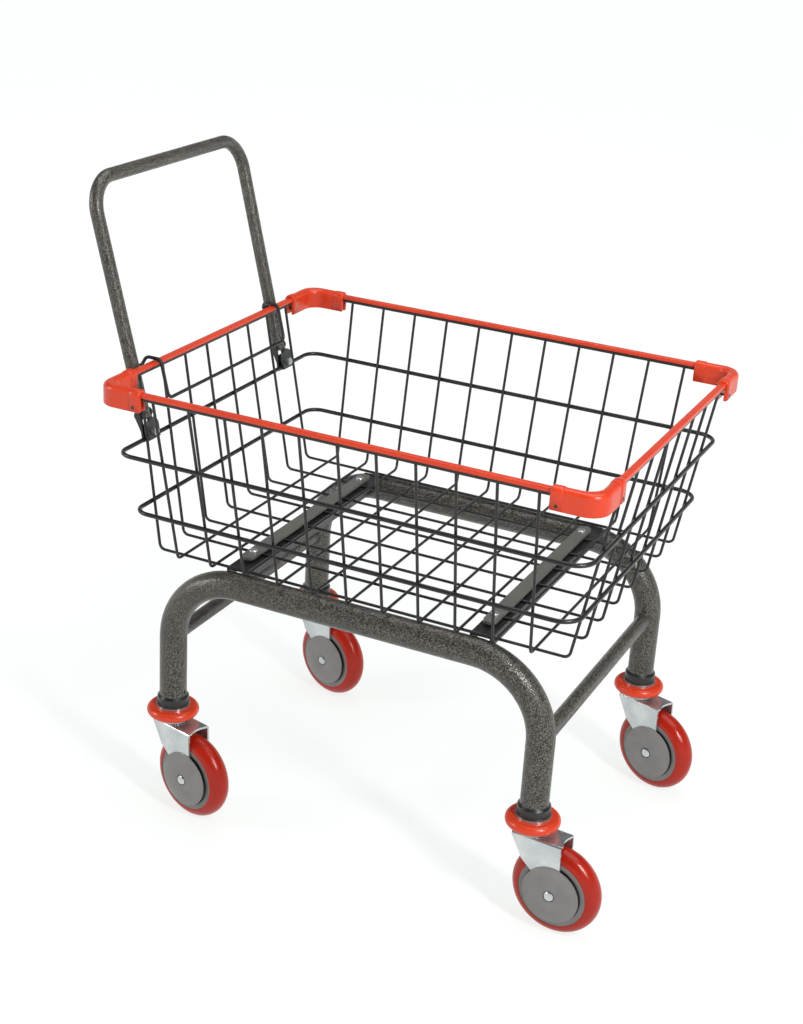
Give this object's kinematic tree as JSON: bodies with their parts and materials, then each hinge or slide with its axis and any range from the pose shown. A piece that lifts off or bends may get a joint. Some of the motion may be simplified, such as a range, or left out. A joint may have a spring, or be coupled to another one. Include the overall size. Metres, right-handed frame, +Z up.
{
  "type": "shopping cart",
  "caption": "Shopping cart with a wire basket on bent side tubes, plastic rim strips and corner bumpers, swivel casters and a fold-down handle locked by a wire bail.",
  "frame": {"origin": "on the floor, at the middle of the cart's overall footprint at rest", "axes": "+X to the front, away from the handle; +Y to the pusher's left; +Z up"},
  "size_m": [0.809, 0.5692, 0.8822],
  "materials": {
    "frame_paint": "hammered dark bronze-grey enamel",
    "black_paint": "satin black powder coat",
    "strap_paint": "grey paint, satin",
    "wire_coat": "satin black coating on wire",
    "zinc_plate": "bright zinc plate",
    "bearing_steel": "ground bearing steel",
    "red_plastic": "glossy orange-red moulded plastic",
    "red_tyre": "glossy red polyurethane",
    "grey_plastic": "mid-grey moulded plastic"
  },
  "bodies": {
    "cart_frame": {"bracket_bolts": "zinc_plate", "bracket_clamp_plates": "black_paint", "bumper_screws": "black_paint", "caster_stems": "zinc_plate", "caster_washers": "zinc_plate", "front_clamp_strap": "strap_paint", "front_left_corner_bumper": "red_plastic", "front_left_ring_bumper": "red_plastic", "front_right_corner_bumper": "red_plastic", "front_right_ring_bumper": "red_plastic", "front_rim_strip": "red_plastic", "front_support_rail": "black_paint", "front_tie_tube": "frame_paint", "handle_brackets": "black_paint", "left_rim_strip": "red_plastic", "left_side_frame": "frame_paint", "leg_sockets": "black_paint", "longitudinal_wires": "wire_coat", "lower_hoop": "wire_coat", "pivot_pins": "black_paint", "rear_clamp_strap": "strap_paint", "rear_left_corner_bumper": "red_plastic", "rear_left_ring_bumper": "red_plastic", "rear_right_corner_bumper": "red_plastic", "rear_right_ring_bumper": "red_plastic", "rear_rim_strip": "red_plastic", "rear_support_rail": "black_paint", "rear_tie_tube": "frame_paint", "right_rim_strip": "red_plastic", "right_side_frame": "frame_paint", "rim_wire": "wire_coat", "strap_bolts": "zinc_plate", "transverse_wires": "wire_coat", "upper_hoop": "wire_coat"},
    "handle": {"push_handle": "frame_paint"},
    "bail": {"handle_bail": "wire_coat"},
    "rear_right_swivel": {"rear_right_fork": "zinc_plate", "rear_right_axle": "zinc_plate", "rear_right_wheel_covers": "grey_plastic"},
    "rear_right_wheel": {"rear_right_wheel_core": "grey_plastic", "rear_right_bearings": "bearing_steel", "rear_right_tyre": "red_tyre"},
    "front_right_swivel": {"front_right_fork": "zinc_plate", "front_right_axle": "zinc_plate", "front_right_wheel_covers": "grey_plastic"},
    "front_right_wheel": {"front_right_wheel_core": "grey_plastic", "front_right_bearings": "bearing_steel", "front_right_tyre": "red_tyre"},
    "front_left_swivel": {"front_left_fork": "zinc_plate", "front_left_axle": "zinc_plate", "front_left_wheel_covers": "grey_plastic"},
    "front_left_wheel": {"front_left_wheel_core": "grey_plastic", "front_left_bearings": "bearing_steel", "front_left_tyre": "red_tyre"},
    "rear_left_swivel": {"rear_left_fork": "zinc_plate", "rear_left_axle": "zinc_plate", "rear_left_wheel_covers": "grey_plastic"},
    "rear_left_wheel": {"rear_left_wheel_core": "grey_plastic", "rear_left_bearings": "bearing_steel", "rear_left_tyre": "red_tyre"}
  },
  "joints": [
    {"name": "handle_fold", "type": "hinge", "parent": "cart_frame", "child": "handle", "pos_m": [-0.31545, 0, 0.569], "axis": [0, -1, 0], "range_deg": [0, 135]},
    {"name": "bail_lift", "type": "hinge", "parent": "cart_frame", "child": "bail", "pos_m": [-0.33125, 0, 0.63], "axis": [0, -1, 0], "range_deg": [0, 120]},
    {"name": "rear_right_swivel_turn", "type": "hinge", "parent": "cart_frame", "child": "rear_right_swivel", "pos_m": [-0.24775, -0.21, 0.1365], "axis": [0, 0, 1], "continuous": true},
    {"name": "rear_right_wheel_spin", "type": "hinge", "parent": "rear_right_swivel", "child": "rear_right_wheel", "pos_m": [-0.20599, -0.22026, 0.0625], "axis": [-0.2385, -0.9711, 0], "continuous": true},
    {"name": "front_right_swivel_turn", "type": "hinge", "parent": "cart_frame", "child": "front_right_swivel", "pos_m": [0.29925, -0.21, 0.1365], "axis": [0, 0, 1], "continuous": true},
    {"name": "front_right_wheel_spin", "type": "hinge", "parent": "front_right_swivel", "child": "front_right_wheel", "pos_m": [0.34212, -0.2133, 0.0625], "axis": [-0.0767, -0.9971, 0], "continuous": true},
    {"name": "front_left_swivel_turn", "type": "hinge", "parent": "cart_frame", "child": "front_left_swivel", "pos_m": [0.29925, 0.21, 0.1365], "axis": [0, 0, 1], "continuous": true},
    {"name": "front_left_wheel_spin", "type": "hinge", "parent": "front_left_swivel", "child": "front_left_wheel", "pos_m": [0.34021, 0.19693, 0.0625], "axis": [-0.304, -0.9527, 0], "continuous": true},
    {"name": "rear_left_swivel_turn", "type": "hinge", "parent": "cart_frame", "child": "rear_left_swivel", "pos_m": [-0.24775, 0.21, 0.1365], "axis": [0, 0, 1], "continuous": true},
    {"name": "rear_left_wheel_spin", "type": "hinge", "parent": "rear_left_swivel", "child": "rear_left_wheel", "pos_m": [-0.20652, 0.19779, 0.0625], "axis": [-0.284, -0.9588, 0], "continuous": true}
  ]
}
